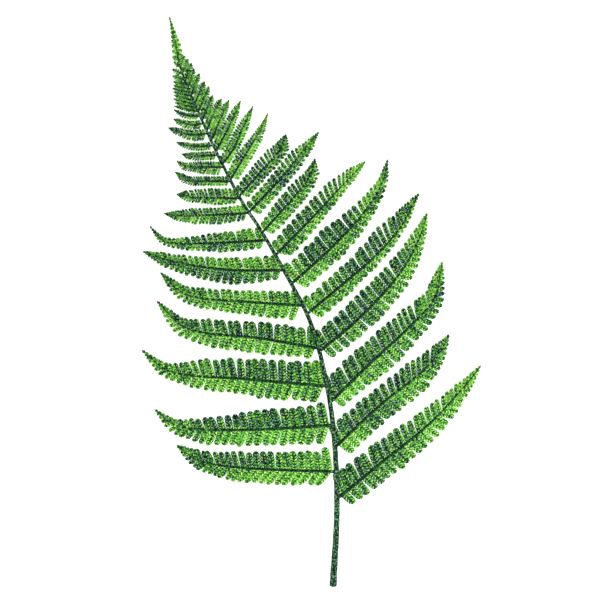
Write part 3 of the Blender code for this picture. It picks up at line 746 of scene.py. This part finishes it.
class Nodes:
    """Builds a material's nodes with short calls."""

    def __init__(self, name):
        self.material = bpy.data.materials.new(name)
        self.material.use_nodes = True
        self.tree = self.material.node_tree
        self.shader = self.tree.nodes["Principled BSDF"]

    def link(self, source, socket):
        self.tree.links.new(source, socket)

    def put(self, socket, value):
        if hasattr(value, "is_output"):
            self.link(value, socket)
        else:
            socket.default_value = value

    def attribute(self, name):
        node = self.tree.nodes.new("ShaderNodeAttribute")
        node.attribute_name = name
        return node.outputs["Fac"]

    def noise(self, scale, detail=2.0, roughness=0.5):
        node = self.tree.nodes.new("ShaderNodeTexNoise")
        coordinates = self.tree.nodes.new("ShaderNodeTexCoord")
        self.link(coordinates.outputs["Object"], node.inputs["Vector"])
        node.inputs["Scale"].default_value = scale
        node.inputs["Detail"].default_value = detail
        node.inputs["Roughness"].default_value = roughness
        return node.outputs["Fac"]

    def spots(self, kind, roughness=0.5):
        noise = self.noise(kind.scale, kind.detail, roughness)
        return self.spread(noise, kind.low, kind.high, kind.least, kind.most)

    def cells(self, scale):
        node = self.tree.nodes.new("ShaderNodeTexVoronoi")
        coordinates = self.tree.nodes.new("ShaderNodeTexCoord")
        self.link(coordinates.outputs["Object"], node.inputs["Vector"])
        node.inputs["Scale"].default_value = scale
        return node.outputs["Distance"]

    def math(self, operation, a, b=0.0, clamp=False):
        node = self.tree.nodes.new("ShaderNodeMath")
        node.operation = operation
        node.use_clamp = clamp
        self.put(node.inputs[0], a)
        self.put(node.inputs[1], b)
        return node.outputs[0]

    def spread(self, value, low, high, to_low=0.0, to_high=1.0):
        node = self.tree.nodes.new("ShaderNodeMapRange")
        for label, number in (("Value", value), ("From Min", low), ("From Max", high),
                              ("To Min", to_low), ("To Max", to_high)):
            self.put(node.inputs[label], number)
        return node.outputs["Result"]

    def ramp(self, value, stops):
        node = self.tree.nodes.new("ShaderNodeValToRGB")
        elements = node.color_ramp.elements
        while len(elements) < len(stops):
            elements.new(0.5)
        for element, (place, colour) in zip(elements, stops):
            element.position = place
            element.color = (*srgb(*colour), 1)
        self.link(value, node.inputs["Fac"])
        return node.outputs["Color"]

    def blend(self, share, a, b):
        """A share of colour b over colour a. The mix node's colours are its inputs 6 and 7."""
        node = self.tree.nodes.new("ShaderNodeMix")
        node.data_type = "RGBA"
        self.put(node.inputs[0], share)
        self.put(node.inputs[6], a)
        self.put(node.inputs[7], b)
        return node.outputs[2]

    def bump(self, height, distance, strength):
        node = self.tree.nodes.new("ShaderNodeBump")
        node.inputs["Strength"].default_value = strength
        node.inputs["Distance"].default_value = distance
        self.link(height, node.inputs["Height"])
        self.link(node.outputs["Normal"], self.shader.inputs["Normal"])


def srgb(r, g, b):
    """Linear colour from its three 8-bit values."""
    return tuple(
        v / 255 / 12.92 if v < 11 else ((v / 255 + 0.055) / 1.055) ** 2.4 for v in (r, g, b)
    )


def leaf_material():
    """Leaf green from dark to bright, partly painted light and shade, in blots, with a painted
    highlight on the puckers' crests and painted shade in the grooves along the veins.
    """
    nodes = Nodes("leaflet_green")
    tone = nodes.attribute("tone")
    crest = nodes.attribute("crest")
    across = nodes.attribute("across")
    drift = nodes.spots(LEAF_DRIFT)
    blots = nodes.spots(LEAF_BLOTS)
    grains = nodes.spots(LEAF_GRAINS)
    shade = nodes.math(
        "ADD", nodes.math("ADD", tone, drift), nodes.math("ADD", blots, grains), clamp=True
    )
    base = nodes.ramp(shade, LEAF_GREENS)
    # Pale greens for the painted highlight
    pale = nodes.ramp(shade, PAINTED_HIGHLIGHT_GREENS)
    # Near-black greens for the painted shade in the grooves
    deep = nodes.ramp(shade, GROOVE_SHADE_GREENS)
    # Painted highlight on the puckers' crests
    highlight_spots = nodes.spots(LEAF_HIGHLIGHT_SPOTS)
    lit = nodes.math("MULTIPLY", nodes.spread(crest, *HIGHLIGHT_CREST), highlight_spots, clamp=True)
    colour = nodes.blend(nodes.math("MULTIPLY", lit, HIGHLIGHT_SHARE), base, pale)
    # Painted shade in the grooves between the puckers, broken up by noise
    groove_shade = nodes.math(
        "MULTIPLY", nodes.spread(crest, *GROOVE_SHADE_CREST), nodes.spread(across, *GROOVE_SHADE_EDGE)
    )
    shade_breaks = nodes.spots(GROOVE_SHADE_BREAKS)
    colour = nodes.blend(nodes.math("MULTIPLY", groove_shade, shade_breaks, clamp=True), colour, deep)
    nodes.link(colour, nodes.shader.inputs["Base Color"])
    nodes.link(nodes.spots(LEAF_ROUGHNESS), nodes.shader.inputs["Roughness"])
    nodes.shader.inputs["Specular IOR Level"].default_value = SHINE
    nodes.bump(nodes.cells(LEAF_BUMP_SCALE), *LEAF_BUMP)
    return nodes.material


def rib_material():
    """Dark green, a little lighter on bright pinnae, with black and pale flecks."""
    nodes = Nodes("rib_green")
    tone = nodes.attribute("tone")
    flecks = nodes.spots(RIB_FLECKS)
    shade = nodes.math("ADD", nodes.math("MULTIPLY", tone, RIB_TONE_SHARE), flecks, clamp=True)
    base = nodes.ramp(shade, RIB_GREENS)
    nodes.link(base, nodes.shader.inputs["Base Color"])
    nodes.link(nodes.spots(RIB_ROUGHNESS), nodes.shader.inputs["Roughness"])
    nodes.shader.inputs["Specular IOR Level"].default_value = SHINE
    nodes.bump(nodes.noise(*RIB_BUMP_NOISE), *RIB_BUMP)
    return nodes.material


def stem_material():
    """Dark green stem with black, olive and grey-green flecks, brown at the cut."""
    nodes = Nodes("stem_green")
    cut = nodes.attribute("crest")
    flecks = nodes.spots(STEM_FLECKS, STEM_FLECK_ROUGHNESS)
    base = nodes.ramp(flecks, STEM_GREENS)
    pith = nodes.ramp(nodes.noise(CUT_NOISE_SCALE), CUT_COLOURS)
    nodes.link(nodes.blend(cut, base, pith), nodes.shader.inputs["Base Color"])
    nodes.link(nodes.spots(STEM_ROUGHNESS), nodes.shader.inputs["Roughness"])
    nodes.shader.inputs["Specular IOR Level"].default_value = SHINE
    nodes.bump(nodes.noise(*STEM_BUMP_NOISE), *STEM_BUMP)
    return nodes.material


def floor_material():
    nodes = Nodes("floor_white")
    nodes.shader.inputs["Base Color"].default_value = FLOOR_WHITE
    nodes.shader.inputs["Roughness"].default_value = FLOOR_ROUGHNESS
    nodes.shader.inputs["Specular IOR Level"].default_value = FLOOR_SHINE
    nodes.shader.inputs["Emission Color"].default_value = (1, 1, 1, 1)
    nodes.shader.inputs["Emission Strength"].default_value = FLOOR_GLOW
    return nodes.material


def dress(piece, material):
    piece.data.materials.append(material)
    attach(piece, "root")
    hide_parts("frond")


def make_floor():
    mesh = bpy.data.meshes.new("floor")
    half = FLOOR_HALF
    corners = [(-half, -half, 0), (half, -half, 0), (half, half, 0), (-half, half, 0)]
    mesh.from_pydata(corners, [], [(0, 1, 2, 3)])
    floor = bpy.data.objects.new("floor", mesh)
    floor.location.z = -FLOOR_DROP
    bpy.context.scene.collection.objects.link(floor)
    mesh.materials.append(floor_material())


def add_light(name, place, size, power, colour):
    """A square light that points at the origin."""
    light = bpy.data.lights.new(name, "AREA")
    light.size = size
    light.energy = power
    light.color = colour
    lamp = bpy.data.objects.new(name, light)
    lamp.location = place
    lamp.rotation_euler = (-Vector(place)).to_track_quat("-Z", "Y").to_euler()
    bpy.context.scene.collection.objects.link(lamp)


def make_light_and_camera():
    world = bpy.data.worlds.new("studio")
    world.use_nodes = True
    background = world.node_tree.nodes["Background"]
    background.inputs["Color"].default_value = (1.0, 1.0, 1.0, 1)
    background.inputs["Strength"].default_value = SKY_LIGHT
    bpy.context.scene.world = world
    for name, (place, size, power, colour) in LIGHTS.items():
        add_light(name, place, size, power, colour)

    camera_data = bpy.data.cameras.new("camera")
    camera = bpy.data.objects.new("camera", camera_data)
    x, y = ((a - b) * MM for a, b in zip(VIEW_MIDDLE, BOX_MIDDLE))
    camera.location = (x, y, CAMERA_HEIGHT * MM)
    camera_data.sensor_width = SENSOR_WIDTH
    camera_data.lens = SENSOR_WIDTH * CAMERA_HEIGHT / VIEW_SIDE
    camera_data.clip_end = CAMERA_REACH
    bpy.context.scene.collection.objects.link(camera)
    bpy.context.scene.camera = camera
    bpy.context.scene.view_settings.view_transform = "Standard"


def main():
    leaf, rib_green, stem_green = leaf_material(), rib_material(), stem_material()
    chance = random.Random(LEAFLET_SEED)
    for number, (row, rib, rib_half, first) in enumerate(pinna_ribs()):
        rows = (
            (row.upper, row.sweeps[0], row.tones[0], UPPER_SLIT[row.side]),
            (row.lower, row.sweeps[1], row.tones[1], LOWER_SLIT[row.side]),
        )
        blades, ribbon = make_pinna(
            f"pinna_{number + 1:02d}", rib, rows, row.leaflets, row.side, first, rib_half, chance
        )
        dress(blades, leaf)
        dress(ribbon, rib_green)
    heights = np.linspace(TERMINAL_ROOT, FROND_HEIGHT, PATH_STEPS + 1)
    path = np.array([rachis_point(y)[:2] for y in heights])
    end = Rib(path, rachis_point(TERMINAL_ROOT)[2] + BLADE / 2, BLADE, 0.0)
    rows = [
        (TERMINAL_LOBE, TERMINAL_SWEEP_DEG, letters, TERMINAL_SLIT) for letters in TERMINAL_TONES
    ]
    blades, ribbon = make_pinna(
        "tip", end, rows, TERMINAL_LOBES, 1, TERMINAL_FIRST, RIB_HALF_WIDTH[0], chance
    )
    dress(blades, leaf)
    dress(ribbon, rib_green)
    dress(make_stem(), stem_green)
    make_floor()
    make_light_and_camera()


main()
